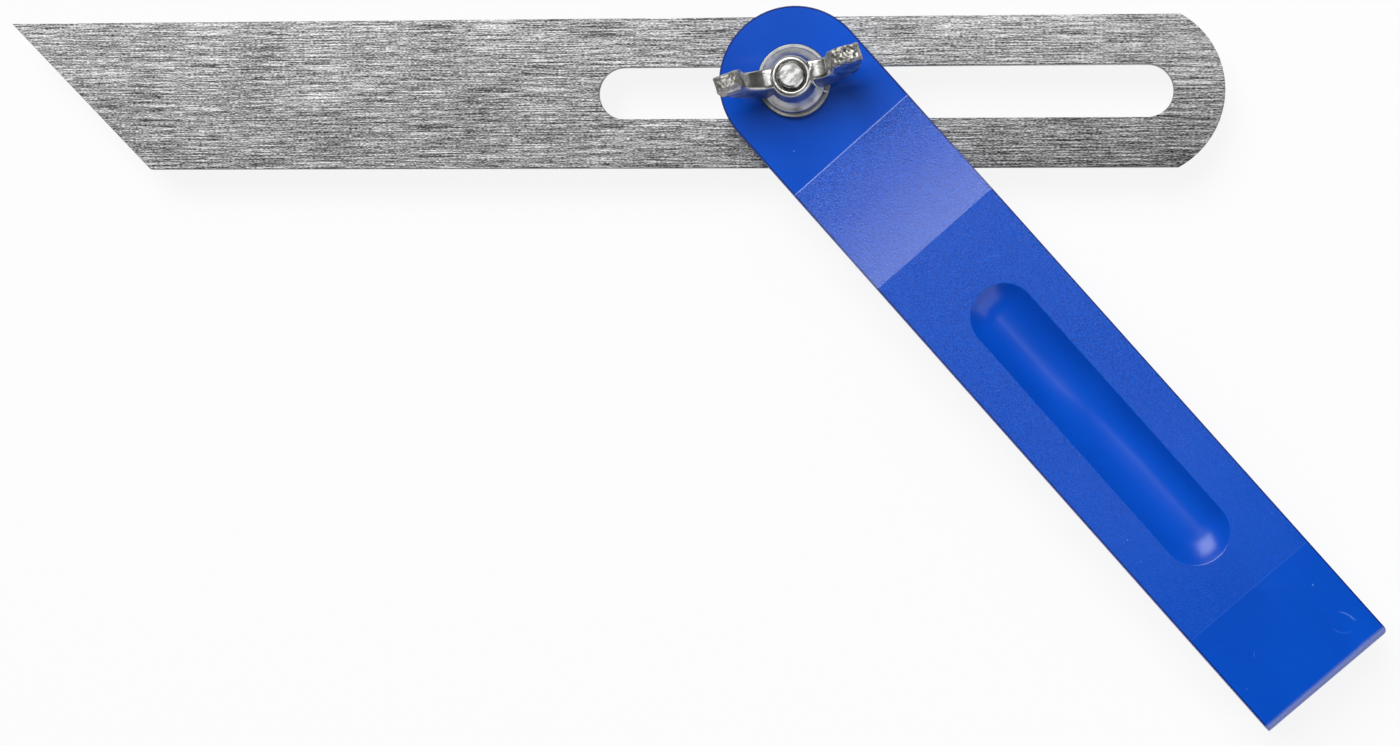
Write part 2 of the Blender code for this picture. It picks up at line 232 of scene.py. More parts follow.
class Finish(Nodes):
    """A material under construction. Plain values go straight on its shader's sockets."""

    def __init__(self, name, **sockets):
        self.material = bpy.data.materials.new(name)
        self.material.use_nodes = True
        super().__init__(self.material.node_tree)
        self.shader = self.tree.nodes["Principled BSDF"]
        for socket, value in sockets.items():
            self.shader.inputs[socket.replace("_", " ")].default_value = value

    def drive(self, name, value):
        """Links a wire to one of the shader's sockets."""
        self.feed(self.shader.inputs[name], value)

    def place(self):
        """Object coordinates."""
        return self.node("TexCoord", output="Object")

    def turned(self, vector, angle, scale=(1.0, 1.0, 1.0)):
        """The vector in a frame turned about Z by the angle, then scaled."""
        inputs = {"Vector": vector, "Angle": -angle}
        flat = self.node("VectorRotate", {"rotation_type": "Z_AXIS"}, inputs)
        return self.node("VectorMath", {"operation": "MULTIPLY"}, {0: flat, 1: scale})

    def noise(self, vector, scale, detail, roughness):
        """Noise from 0 to 1, with about as many bumps to a unit of the vector as the scale says."""
        inputs = {"Vector": vector, "Scale": scale, "Detail": detail, "Roughness": roughness}
        return self.node("TexNoise", {"normalize": True}, inputs)

    def mix(self, factor, first, second):
        """A colour between two others, each a wire or three plain numbers."""
        made = self.node("Mix", {"data_type": "RGBA"}, {0: factor}).socket.node
        for socket, colour in ((MIX_FIRST_COLOUR, first), (MIX_SECOND_COLOUR, second)):
            self.feed(made.inputs[socket], colour if isinstance(colour, Wire) else (*colour, 1.0))
        return Wire(self, made.outputs[MIX_COLOUR_RESULT])

    def bump(self, height, depth, strength, normal=None):
        """Bump from a height of 0 to 1 that stands for the depth, in metres."""
        inputs = {"Strength": strength, "Distance": depth, "Height": height}
        if normal is not None:
            inputs["Normal"] = normal
        return self.node("Bump", None, inputs)


print("trees of nodes ready")

# %% [markdown]
# ## Floor and background
#
# The photograph is a catalogue picture on pure white. A white floor under a lamp would render as
# uneven grey, and a floor that only glows would take no shadow. So the floor's material mixes
# both. A Light Path node shows the glow only to rays from the camera or off a shiny piece. Other
# rays meet plain white paper, so that the glow lights nothing.

# %% Floor and world
FLOOR_SIZE = 6.0
FLOOR_DROP = 0.5 * MM
FLOOR_LIFT = 0.88
PAPER = (0.88, 0.88, 0.88, 1.0)
WORLD_STRENGTH = 0.045
SEEN_RAYS = ("Is Camera Ray", "Is Glossy Ray", "Is Transmission Ray")


def white_table():
    """White paper that is lifted most of the way to pure white and still takes a shadow."""
    finish = Finish("white_table", Base_Color=PAPER, Roughness=0.9, Specular_IOR_Level=0.0)
    seen = strongest([finish.node("LightPath", output=rays) for rays in SEEN_RAYS])
    paper = Wire(finish, finish.shader.outputs[0])
    glow = finish.node("Emission", None, {"Color": WHITE, "Strength": 1.0})
    mixed = finish.node("MixShader", None, {0: seen * FLOOR_LIFT, 1: paper, 2: glow})
    finish.feed(finish.tree.nodes["Material Output"].inputs["Surface"], mixed)
    return finish


def add_stage_plane(name, size, height, material):
    """A square floor, which belongs to the stage and not to the tool."""
    mesh = bpy.data.meshes.new(name)
    half = size / 2
    corners = [(-half, -half), (half, -half), (half, half), (-half, half)]
    mesh.from_pydata([(x, y, height) for x, y in corners], [], [(0, 1, 2, 3)])
    mesh.materials.append(material)
    plane = add_object(name, mesh)


add_stage_plane("floor", FLOOR_SIZE, -FLOOR_DROP, white_table().material)

world = bpy.data.worlds.new("studio")
bpy.context.scene.world = world
world.use_nodes = True
background = world.node_tree.nodes["Background"]
background.inputs["Color"].default_value = WHITE
background.inputs["Strength"].default_value = WORLD_STRENGTH
bpy.context.scene.view_settings.view_transform = "Standard"
print("floor", FLOOR_SIZE, "m wide")

# %% [markdown]
# ## Lamps
#
# Shiny pieces show the lamps' reflections more than their light, so the place and the size of each
# lamp matter as much as its power. The key is a large softbox, high up beyond the blade and a
# little to the left. A low wide one off the butt keeps the sides readable. The small round panel
# overhead gives hardly any light: the grip mirrors it, which makes its pale zone and the bright
# band along the finger groove.

# %% Lamps
LAMP_TARGET = Vector((0.03, -0.05, 0.0))
LAMPS = (
    # name, place in metres, size in metres, power in watts, shape
    ("key_softbox", (-0.597, 1.05, 1.80), (1.47, 1.47), 49.0, "RECTANGLE"),
    ("butt_softbox", (0.80, -0.72, 0.50), (1.4, 0.9), 5.6, "RECTANGLE"),
    ("ceiling_panel", (0.10, -0.035, 1.25), (0.28, 0.24), 0.42, "ELLIPSE"),
)

for name, place, size, power, outline in LAMPS:
    lamp = bpy.data.lights.new(name, "AREA")
    lamp.shape = outline
    lamp.size, lamp.size_y = size
    lamp.energy = power
    holder = add_object(name, lamp)
    holder.location = Vector(place)
    holder.rotation_euler = (LAMP_TARGET - holder.location).to_track_quat("-Z", "Y").to_euler()
    print(name, power, "W")

# %% [markdown]
# ## From CAD solids to pieces
#
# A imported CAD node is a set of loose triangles, so a copy of it is merged before anything else is
# done to it. Modifiers are applied by reading the evaluated mesh, which needs no Blender window
# and works in a script, where the Apply button doesn't.

# %% Copies of CAD solids
WELD_DISTANCE = 0.002 * MM


@contextmanager
def edited(mesh):
    """A bmesh of the mesh, written back to it when the block ends."""
    shape = bmesh.new()
    shape.from_mesh(mesh)
    yield shape
    shape.to_mesh(mesh)
    shape.free()


def everything(shape):
    """All vertices, edges and faces of a bmesh."""
    return shape.verts[:] + shape.edges[:] + shape.faces[:]


def merged_copy(node_name, piece_name):
    """A copy of a CAD node with its loose triangles welded."""
    mesh = nodes[node_name].data.copy()
    mesh.name = piece_name
    with edited(mesh) as shape:
        bmesh.ops.remove_doubles(shape, verts=shape.verts, dist=WELD_DISTANCE)
    mesh.materials.clear()
    return add_object(piece_name, mesh)


def evaluated_mesh(piece):
    """A new mesh, as the object's modifiers or its curve settings make it."""
    bpy.context.view_layer.update()
    graph = bpy.context.evaluated_depsgraph_get()
    return bpy.data.meshes.new_from_object(piece.evaluated_get(graph))


def apply_modifiers(piece):
    """Puts what the modifiers make in the piece's mesh, and removes them."""
    mesh = evaluated_mesh(piece)
    piece.modifiers.clear()
    old, piece.data = piece.data, mesh
    bpy.data.meshes.remove(old)


print("weld distance", round(WELD_DISTANCE / MM, 4), "mm")

# %% [markdown]
# Smooth shading that keeps the sharp edges, with normals weighted by face area, makes the flats look
# flat and the fillets look round. `dress` comes last for every piece: it gives the piece its material
# and its body, and hides the CAD node that it stands for.

# %% Edges and finishes of pieces
EDGE_SEGMENTS = 2
LARGEST_FACE_DECIDES = 100


def smooth_step(value, low, high):
    """Rises smoothly from 0 at low to 1 at high, as a wire's step does."""
    share = min(max((value - low) / (high - low), 0.0), 1.0)
    return share * share * (3 - 2 * share)


def soften(piece, sharp_angle):
    """Smooth shading, with edges over the angle kept sharp and flats kept flat."""
    piece.data.shade_smooth()
    piece.data.set_sharp_from_angle(angle=math.radians(sharp_angle))
    weighted = piece.modifiers.new("weighted_normals", "WEIGHTED_NORMAL")
    weighted.keep_sharp = True
    weighted.weight = LARGEST_FACE_DECIDES


def break_edges(piece, width, angle):
    """A small round on every edge that is sharper than the angle."""
    bevel = piece.modifiers.new("broken_edges", "BEVEL")
    bevel.width = width
    bevel.segments = EDGE_SEGMENTS
    bevel.limit_method = "ANGLE"
    bevel.angle_limit = math.radians(angle)
    apply_modifiers(piece)


def dress(piece, body, slot, finish, *replaced):
    """Gives a finished piece its material and its body, and hides the CAD nodes that it replaces. The
    slot is not used.
    """
    piece.data.materials.clear()
    piece.data.materials.append(finish.material)
    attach(piece, body)
    if replaced:
        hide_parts(*replaced)
    print(piece.name, len(piece.data.polygons), "faces")


print("rounds have", EDGE_SEGMENTS, "segments")

# %% [markdown]
# ## The stock's plastic
#
# The stock is one moulding in blue plastic. Its mould was polished at the two ends and spark eroded
# between them, so the grip has a fine grain that scatters light. The grain is half worn off towards
# the butt. Where the two finishes meet, a fine edge catches the light, and that thin line is a
# painted highlight. All of it could be painted on a picture. Masks worked out from the distance along
# the stock and across it need no picture and stay sharp close up.

# %% Zones of the stock
PAD_LINE = 17.4 * MM
BUTT_LINE = 136.9 * MM
BUTT_END = 160.8 * MM
ZONE_FADE = 0.2 * MM
LINE_HALF_WIDTH = 0.14 * MM
PAD_LINE_STRENGTH, BUTT_LINE_STRENGTH = 0.55, 0.16
GROOVE_MIDDLE = 92.55 * MM
GROOVE_STRAIGHT = 28.7 * MM
GROOVE_HALF_WIDTH = 6.65 * MM
SMOOTH_INNER, SMOOTH_OUTER = GROOVE_HALF_WIDTH - 0.25 * MM, GROOVE_HALF_WIDTH + 0.15 * MM
GRAIN_FULL, GRAIN_WORN = 70 * MM, 125 * MM
GRAIN_LOST = 0.5


def mould_zones(along, across):
    """Two masks: between the mould's two lines, and outside the finger groove."""
    past = ((along - GROOVE_MIDDLE).size() - GROOVE_STRAIGHT).greater(0.0)
    outside = flat_distance(past, across).step(SMOOTH_INNER, SMOOTH_OUTER)
    after_pad = along.step(PAD_LINE, PAD_LINE + ZONE_FADE)
    before_butt = 1 - along.step(BUTT_LINE - ZONE_FADE, BUTT_LINE)
    return after_pad * before_butt, outside


def witness_line_highlights(along):
    """Mask of the painted highlight on the lines where the two mould finishes meet, the one by the
    pivot stronger.
    """
    on_pad_line = (along - PAD_LINE).size().within(LINE_HALF_WIDTH, 0.3)
    on_butt_line = (along - BUTT_LINE).size().within(LINE_HALF_WIDTH, 0.3)
    return on_pad_line * PAD_LINE_STRENGTH + on_butt_line * BUTT_LINE_STRENGTH


print("eroded zone", round((BUTT_LINE - PAD_LINE) / MM, 1), "mm long")

# %% [markdown]
# Handling has left a few scuffs, most of them on the polished butt, and some specks. A scuff is
# short and curved, so it is the part of a circle that also passes close to a chosen spot, and a
# speck is a small dot. Each has its place in a table, in millimetres along the stock and across
# it, because marks that noise scatters look like a pattern.

# %% Scuffs and specks
SCUFF_ARCS = (
    # along, across, radius, spot on the arc, reach from that spot, half width, strength
    (154.2, 8.0, 3.75, (152.9, 11.6), 2.2, 0.24, 0.45),
    (153.2, 10.4, 2.75, (155.0, 8.4), 2.3, 0.16, 0.36),
    (154.9, 8.8, 3.2, (153.8, 11.8), 1.5, 0.14, 0.25),
    (148.9, -5.0, 3.1, (147.0, -7.4), 0.8, 0.09, 0.55),
    (60.0, 2.0, 8.0, (53.8, 6.2), 1.8, 0.20, 0.25),
)
SPECKS = (
    # along, across, radius, strength
    (144.1, 10.3, 0.22, 0.8),
    (113.7, -11.2, 0.20, 0.8),
    (128.1, 13.8, 0.16, 0.5),
    (10.57, -9.38, 0.20, 0.7),
    (151.33, -13.09, 0.18, 0.4),
    (153.9, 15.2, 0.25, 0.8),
    (72.4, -9.6, 0.16, 0.4),
    (118.6, -12.1, 0.20, 0.4),
    (131.2, 9.9, 0.14, 0.3),
)


def distance_to(along, across, spot):
    """Distance in the stock's plane from a spot given in millimetres."""
    return flat_distance(along - spot[0] * MM, across - spot[1] * MM)


def handling_marks(along, across, smear):
    """Scuffs, broken up by the smears, and specks."""
    arcs = []
    for x, y, radius, spot, reach, half_width, strength in SCUFF_ARCS:
        off_circle = (distance_to(along, across, (x, y)) - radius * MM).size()
        near_spot = distance_to(along, across, spot).within(reach * MM, 0.4)
        arcs.append(off_circle.within(half_width * MM, 0.2) * near_spot * strength)
    marks = [strongest(arcs) * smear.step(0.3, 0.62)]
    for x, y, radius, strength in SPECKS:
        marks.append(distance_to(along, across, (x, y)).within(radius * MM, 0.3) * strength)
    return strongest(marks)


print(len(SCUFF_ARCS), "scuffs and", len(SPECKS), "specks")

# %% [markdown]
# Two edges have a painted tone. The small round along the stock's outline faces the dark room beside
# the table, so it shows as a thin dark line of painted shade, which follows the ramp down and goes
# round the pivot's end. The butt's rounded upper edge catches the light as a pale strip, and that
# highlight is painted in a paler, rougher finish. Modelled, both would be finer than a pixel and
# flicker, so they are painted. The sides below the outline are duller than the faces, and they get a
# mask as well.

# %% Edges of the stock
RAMP_START, RAMP_END, RAMP_RISE = PAD_LINE, 43.0 * MM, 2.2 * MM
OUTLINE_INNER, OUTLINE_OUTER = 14.94 * MM, 15.09 * MM
OUTLINE_FULL_DEPTH, OUTLINE_NO_DEPTH = 0.5 * MM, 0.9 * MM
SIDE_INNER, SIDE_OUTER = 15.1 * MM, 15.35 * MM
# Where the highlight along the butt's upper edge is painted
BUTT_HIGHLIGHT_WAVE = 0.8
BUTT_HIGHLIGHT_START, BUTT_HIGHLIGHT_FULL = BUTT_END - 1.5 * MM, BUTT_END - 0.7 * MM
BUTT_HIGHLIGHT_LOW, BUTT_HIGHLIGHT_HIGH = -1.25 * MM, -0.75 * MM


def outline_and_side(along, across, height):
    """Masks of the dark outline and of the sides under it."""
    local_top = STOCK_TOP - RAMP_RISE * (1 - along.step(RAMP_START, RAMP_END))
    near_top = 1 - (local_top - height).step(OUTLINE_FULL_DEPTH, OUTLINE_NO_DEPTH)
    behind_pivot = (0 - along).greater(0.0)
    from_middle = flat_distance(behind_pivot, across)
    outline = from_middle.step(OUTLINE_INNER, OUTLINE_OUTER) * near_top
    return outline, from_middle.step(SIDE_INNER, SIDE_OUTER)


def painted_butt_highlight(along, height, flow):
    """Mask of the painted highlight along the butt's upper edge, which wavers with the flow."""
    near_end = (along + flow * BUTT_HIGHLIGHT_WAVE * MM).step(BUTT_HIGHLIGHT_START, BUTT_HIGHLIGHT_FULL)
    return near_end * (height - STOCK_TOP).step(BUTT_HIGHLIGHT_LOW, BUTT_HIGHLIGHT_HIGH)


print("outline", round((OUTLINE_OUTER - OUTLINE_INNER) / MM, 2), "mm soft")

# %% [markdown]
# The plastic puts these together. Two fine noises make the grain, which changes the colour, the
# roughness and the bump at once, because its high spots are rubbed a little paler and duller. A
# slow noise along the stock stands for the flow in the mould, and a slanted one for smears.

# %% Blue plastic
POLISHED_DARK, POLISHED_LIGHT = (0.0004, 0.070, 0.53), (0.0007, 0.088, 0.63)
GRAIN_DARK, GRAIN_LIGHT = (0.0002, 0.052, 0.43), (0.003, 0.110, 0.69)
LINE_HIGHLIGHT_BLUE = (0.16, 0.30, 0.80)
SCUFF_BLUE = (0.16, 0.36, 0.86)
OUTLINE_BLUE = (0.0003, 0.012, 0.14)
BUTT_HIGHLIGHT_BLUE = (0.24, 0.28, 0.52)
SMEAR_SLANT = 0.9


def blue_plastic():
    """Blue plastic with its mould's two finishes, the marks of use, and painted shade and highlights
    on its lines and edges.
    """
    finish = Finish("blue_plastic", Specular_IOR_Level=0.42)
    place = finish.turned(finish.place(), SETTING)
    along, across, height = finish.split(place)
    flow_place = finish.turned(finish.place(), SETTING, (0.35, 1.0, 1.0))
    flow = finish.noise(flow_place, 55.0, 3.0, 0.55)
    smear_place = finish.turned(finish.place(), SETTING + SMEAR_SLANT, (0.2, 1.0, 1.0))
    smear = finish.noise(smear_place, 240.0, 3.0, 0.6)

    zone, outside_groove = mould_zones(along, across)
    eroded = zone * outside_groove * (1 - along.step(GRAIN_FULL, GRAIN_WORN) * GRAIN_LOST)
    coarse = finish.noise(place, 3000.0, 1.0, 0.5)
    fine = finish.noise(place, 6000.0, 1.0, 0.5)
    grain = coarse * 0.6 + fine * 0.4
    scuffs = handling_marks(along, across, smear)
    outline, side = outline_and_side(along, across, height)
    butt_highlight = painted_butt_highlight(along, height, flow)

    polished = finish.mix(flow.step(0.3, 0.7), POLISHED_DARK, POLISHED_LIGHT)
    colour = finish.mix(eroded, polished, finish.mix(grain.step(0.32, 0.68), GRAIN_DARK, GRAIN_LIGHT))
    # Painted highlight along the two lines where the mould finishes meet.
    colour = finish.mix(witness_line_highlights(along), colour, LINE_HIGHLIGHT_BLUE)
    colour = finish.mix(scuffs, colour, SCUFF_BLUE)
    colour = finish.mix(outline * 0.9, colour, OUTLINE_BLUE)
    # Painted highlight: the butt's upper edge is painted paler where its round catches the light.
    finish.drive("Base Color", finish.mix(butt_highlight * 0.6, colour, BUTT_HIGHLIGHT_BLUE))

    rough = 0.14 + flow * 0.04 + smear.step(0.55, 0.8) * 0.04
    rough = rough + eroded * (0.04 + grain * 0.05) + (1 - outside_groove) * zone * 0.12
    finish.drive("Roughness", rough + scuffs * 0.25 + butt_highlight * 0.12 + side * 0.3)
    texture = finish.bump(grain * eroded, 0.06 * MM, 1.0)
    finish.drive("Normal", finish.bump(flow, 0.08 * MM, 0.12, texture))
    return finish


stock_finish = blue_plastic()
print(stock_finish.material.name, len(stock_finish.tree.nodes), "nodes")

# %% [markdown]
# ## The stock's shape
#
# The CAD stock draws each ramp as two flat facets, which would show as two bands of light. The
# real ramp is one arc. A Subdivision Surface would round the groove and the ends as well, so only
# the ramps are cut, into narrow strips, and each cut is moved on to the arc. Where the arc meets
# the flat grip there is a true crease. Its edges are noted as seams here, so that they can be
# found again after later steps and kept sharp.

# %% Ramps along their arc
RAMP_STRIPS = 14
RAMP_RUN = RAMP_END - RAMP_START
RAMP_SWEEP = 2 * math.atan(RAMP_RISE / RAMP_RUN)
RAMP_RADIUS = RAMP_RUN / math.sin(RAMP_SWEEP)
FACET_RUN = RAMP_RADIUS * math.sin(RAMP_SWEEP / 2)
FACET_RISE = RAMP_RADIUS - RAMP_RADIUS * math.cos(RAMP_SWEEP / 2)
# Points farther than this from mid height belong to a ramp and not to the blade's slot
RAMP_FACE_LEVEL = 4 * MM
CREASE_TOLERANCE = 0.02 * MM
NEARLY_FLAT = math.radians(0.05)


def facet_height(reach):
    """Height of the CAD's two facets at a distance from the ramp's start."""
    if reach < FACET_RUN:
        return FACET_RISE * reach / FACET_RUN
    return FACET_RISE + (RAMP_RISE - FACET_RISE) * (reach - FACET_RUN) / (RAMP_RUN - FACET_RUN)


def arc_height(reach):
    """Height of the arc at a distance from the ramp's start."""
    return RAMP_RADIUS - math.sqrt(RAMP_RADIUS**2 - reach**2)


def round_ramps(piece):
    """Cuts both ramps into strips along their true arc and marks the crease at their end."""
    with edited(piece.data) as shape:
        for strip in range(1, RAMP_STRIPS):
            cut = ALONG_STOCK * (RAMP_START + RAMP_RUN * strip / RAMP_STRIPS)
            geometry = everything(shape)
            bmesh.ops.bisect_plane(shape, geom=geometry, plane_co=cut, plane_no=ALONG_STOCK)
        for vertex in shape.verts:
            reach = vertex.co.dot(ALONG_STOCK) - RAMP_START
            above = vertex.co.z - STOCK_MIDDLE
            if 0.0 < reach < RAMP_RUN and abs(above) > RAMP_FACE_LEVEL:
                sag = facet_height(reach) - arc_height(reach)
                vertex.co.z -= math.copysign(sag, above)
        everywhere = {"verts": shape.verts, "edges": shape.edges}
        bmesh.ops.dissolve_limit(shape, angle_limit=NEARLY_FLAT, **everywhere)
        for edge in shape.edges:
            offsets = [abs(end.co.dot(ALONG_STOCK) - RAMP_END) for end in edge.verts]
            edge.seam = max(offsets) < CREASE_TOLERANCE


print("ramp radius", round(RAMP_RADIUS / MM, 1), "mm")

# %% [markdown]
# The finger groove needs two small changes. The far half of its floor rises gently, which puts
# the reflection of the overhead panel where the photograph has it. And its rim, sharp in the CAD,
# gets the small round of an eased mould edge, with a bevel on just the edges that lie on the rim.

# %% Finger grooves
GROOVE_SLOPE = 0.03
GROOVE_SLOPE_MIDDLE = 14 * MM
SLOPE_FULL, SLOPE_NONE = 2 * MM, 9 * MM
GROOVE_DEEPEST = 4 * MM
RIM_ROUND = 0.18 * MM
RIM_SEGMENTS = 3
RIM_TOLERANCE = 0.05 * MM
FACE_TOLERANCE = 0.01 * MM


def place_in_groove(point):
    """Distance along from the groove's middle, and distance out from its middle line."""
    along = point.dot(ALONG_STOCK) - GROOVE_MIDDLE
    past = max(abs(along) - GROOVE_STRAIGHT, 0.0)
    return along, math.hypot(past, point.dot(ACROSS_STOCK))


def depth_of(point):
    """Depth under the nearer of the stock's two faces."""
    return min(STOCK_TOP - point.z, point.z - STOCK_BOTTOM)


def scoop_grooves(piece):
    """Lets the far half of each groove's floor rise gently towards its end."""
    for vertex in piece.data.vertices:
        along, out = place_in_groove(vertex.co)
        share = out / GROOVE_HALF_WIDTH
        if share < 1.0 and depth_of(vertex.co) < GROOVE_DEEPEST:
            rise = GROOVE_SLOPE * (along - GROOVE_SLOPE_MIDDLE)
            fade = 1 - smooth_step(-along, SLOPE_FULL, SLOPE_NONE)
            shift = rise * fade * (1 - share * share)
            vertex.co.z += shift if vertex.co.z > STOCK_MIDDLE else -shift


def on_rim(point):
    """Whether a point lies on the line where a groove meets the face."""
    out = place_in_groove(point)[1]
    return abs(out - GROOVE_HALF_WIDTH) < RIM_TOLERANCE and depth_of(point) < FACE_TOLERANCE


def round_groove_rims(piece):
    """A small round along the rim of each groove."""
    with edited(piece.data) as shape:
        rim = []
        for edge in shape.edges:
            if all(on_rim(end.co) for end in edge.verts) and len(edge.link_faces) == 2:
                rim.append(edge)
        size = {"offset_type": "OFFSET", "offset": RIM_ROUND, "segments": RIM_SEGMENTS}
        bmesh.ops.bevel(shape, geom=rim, profile=0.5, affect="EDGES", **size)
        print("rim edges", len(rim))


def keep_creases(piece):
    """Marks the edges noted as seams as sharp too: here the line where each ramp ends."""
    for edge in piece.data.edges:
        if edge.use_seam:
            edge.use_edge_sharp = True


stock = merged_copy("stock", "moulded_stock")
round_ramps(stock)
scoop_grooves(stock)
round_groove_rims(stock)
soften(stock, sharp_angle=25.0)
keep_creases(stock)
dress(stock, "stock", "stock", stock_finish, "stock")

# %% [markdown]
# ## The blade
#
# The blade is a steel strip ground along its length. Grinding leaves thousands of short parallel
# scratches. An anisotropic shader would give their shine but not the lines themselves, so the
# finish is noise that is stretched far along X and hardly at all across it. Three layers of
# different length keep it from looking like lines ruled from end to end, and a fourth adds a few
# dark hairs. Height counts as width, so that the strip's edges are streaked along their length
# like its faces.

# %% Ground steel
STEEL_GREYS = ((0.0, 0.03), (0.28, 0.13), (0.52, 0.27), (0.78, 0.44), (1.0, 0.72))
STEEL_CONTRAST = 5.1
TONE_REACH = 15.5 * MM
PIVOT_FADE_START, PIVOT_FADE_END = -10 * MM, 25 * MM


def streaks(finish, length, width, seed):
    """Noise drawn out along X, for scratches of about that length and width. The seed moves it,
    so that no two layers line up."""
    x, y, z = finish.split(finish.place())
    inputs = {0: (x + seed) / length, 1: (y + z + seed * 0.7) / width}
    return finish.noise(finish.node("CombineXYZ", None, inputs), 1.0, 1.0, 0.55)


def ground_steel():
    """Bare steel, ground along X."""
    finish = Finish("ground_steel", Metallic=1.0)
    drawn = streaks(finish, 12.0 * MM, 0.27 * MM, 0.31)
    short = streaks(finish, 2.4 * MM, 0.19 * MM, 1.73)
    grit = streaks(finish, 0.60 * MM, 0.17 * MM, 2.9)
    hairs = streaks(finish, 14.0 * MM, 0.20 * MM, 4.4)
    marks = drawn * 0.35 + short * 0.28 + grit * 0.37
    dark_hairs = hairs.step(0.66, 0.74) * short.step(0.40, 0.60)
    clouds = finish.noise(finish.turned(finish.place(), 0.0, (0.35, 1.0, 1.0)), 160.0, 2.0, 0.5)

    # Painted light: the strip is painted a little paler towards its far edge, and more so on the
    # tail's side
    x, y, _ = finish.split(finish.place())
    past_pivot = x.step(PIVOT_FADE_START, PIVOT_FADE_END)
    painted_light_slope = (y / TONE_REACH) * (0.05 + past_pivot * 0.10) + past_pivot * 0.05
    tone = 0.500 + (marks - 0.5) * STEEL_CONTRAST + (clouds - 0.5) * 0.40 + painted_light_slope - dark_hairs * 0.3
    finish.drive("Base Color", finish.node("ValToRGB", {"stops": STEEL_GREYS}, {0: tone}))
    finish.drive("Roughness", 0.50 + short * 0.16)
    finish.drive("Normal", finish.bump(marks, 0.02 * MM, 0.2))
    return finish


blade = merged_copy("blade", "slotted_blade")
break_edges(blade, width=0.12 * MM, angle=30.0)
soften(blade, sharp_angle=35.0)
dress(blade, "blade", "blade", ground_steel(), "blade")

# %% [markdown]
# ## Zinc plate
#
# The bolt, the bush, the washer and the nut are zinc plated. On turned faces the plate is bright,
# with a faint cloudiness and a few dark specks that one even metal would lack. The washer is the
# same plate but duller, as a stamped part is. The bush can't be seen in the slot, so it
# keeps its CAD shape and only takes the plate's material.

# %% Bright zinc
ZINC_DARK, ZINC_LIGHT = (0.42, 0.42, 0.41), (0.68, 0.68, 0.67)
ZINC_SPECK = (0.20, 0.20, 0.20)
ZINC_RIPPLE = 0.05 * MM


def dimmed(colour, brightness):
    """A colour at a share of its brightness."""
    return tuple(level * brightness for level in colour)


def bright_zinc(name, roughness, brightness=1.0):
    """Zinc plate on a turned or stamped part."""
    finish = Finish(name, Metallic=1.0)
    place = finish.place()
    cloud = finish.noise(place, 420.0, 3.0, 0.6)
    speck = finish.noise(place, 2600.0, 2.0, 0.6)
    dark, light = dimmed(ZINC_DARK, brightness), dimmed(ZINC_LIGHT, brightness)
    colour = finish.mix(cloud.step(0.25, 0.75), dark, light)
    finish.drive("Base Color", finish.mix(speck.step(0.62, 0.78) * 0.5, colour, ZINC_SPECK))
    finish.drive("Roughness", roughness + cloud * 0.12)
    finish.drive("Normal", finish.bump(cloud * 0.7 + speck * 0.3, ZINC_RIPPLE, 0.4))
    return finish


zinc = bright_zinc("bright_zinc", roughness=0.16)
dull_zinc = bright_zinc("dull_zinc", roughness=0.34, brightness=0.52)
bush = nodes["pivot_bush"]
bush.data.materials.clear()
bush.data.materials.append(zinc.material)

washer = merged_copy("washer", "flat_washer")
break_edges(washer, width=0.10 * MM, angle=40.0)
soften(washer, sharp_angle=40.0)
dress(washer, "washer", "washer", dull_zinc, "washer")

# %% [markdown]
# ## The wing nut
#
# The nut is a small casting. Its collar is machined round the thread, the wings sweep up from it
# as thick webs that thin towards their tips, and each tip ends in a block whose top was trimmed.
# The CAD nut has the right size, but its joins are sharp, as in a drawing. A bevel on so many
# curved joins would break, and a Subdivision Surface needs clean quads. A copy that is remeshed
# into small even faces and relaxed gets the soft fillet of a casting at every join, and has
# enough points to be bent and carved.
#
# That is easiest in the nut's own frame, which stands on its lower face with X along the wings,
# and in millimetres.

# %% The nut's own frame
NUT_TURN = math.radians(10.9)
NUT_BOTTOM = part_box("wing_nut")[0].z
TO_NUT = Matrix.Rotation(-NUT_TURN, 4, "Z") @ Matrix.Translation((0.0, 0.0, -NUT_BOTTOM))
FROM_NUT = TO_NUT.inverted()
MM_IN_METRE = 1000


def to_nut(point):
    """A point in the nut's own frame, in millimetres."""
    return TO_NUT @ point * MM_IN_METRE


def from_nut(local):
    """The way back, to metres in the scene."""
    return FROM_NUT @ (local / MM_IN_METRE)


print("nut stands", round(NUT_BOTTOM / MM, 2), "mm up")

# %% [markdown]
# A fine raised line runs round the foot of the right wing, where two parts of the die met. It is
# an arc in plan, and it runs down the collar's slope. A curve with a round bevel makes such a
# wire from a few points, and the remesh then melts it into the casting.

# %% Raised line
LIP_X, LIP_Y, LIP_RADIUS = 7.3, -0.7, 3.5
LIP_FIRST_ANGLE, LIP_ANGLE_STEP, LIP_POINTS = 105, 7, 23
LIP_WIRE_RADIUS = 0.24 * MM
COLLAR_TOP, COLLAR_RADIUS, COLLAR_SLOPE = 7.75, 4.1, 1.05


def lip_curve():
    """The raised line as a curve, in the nut's own frame."""
    curve = bpy.data.curves.new("lip", "CURVE")
    curve.dimensions = "3D"
    curve.bevel_depth = LIP_WIRE_RADIUS
    curve.use_fill_caps = True
    spline = curve.splines.new("POLY")
    spline.points.add(LIP_POINTS - 1)
    for step, point in enumerate(spline.points):
        angle = math.radians(LIP_FIRST_ANGLE + step * LIP_ANGLE_STEP)
        x = LIP_X + LIP_RADIUS * math.cos(angle)
        y = LIP_Y + LIP_RADIUS * math.sin(angle)
        height = COLLAR_TOP - COLLAR_SLOPE * max(math.hypot(x, y) - COLLAR_RADIUS, 0.0)
        point.co = (x * MM, y * MM, height * MM, 1.0)
    return curve


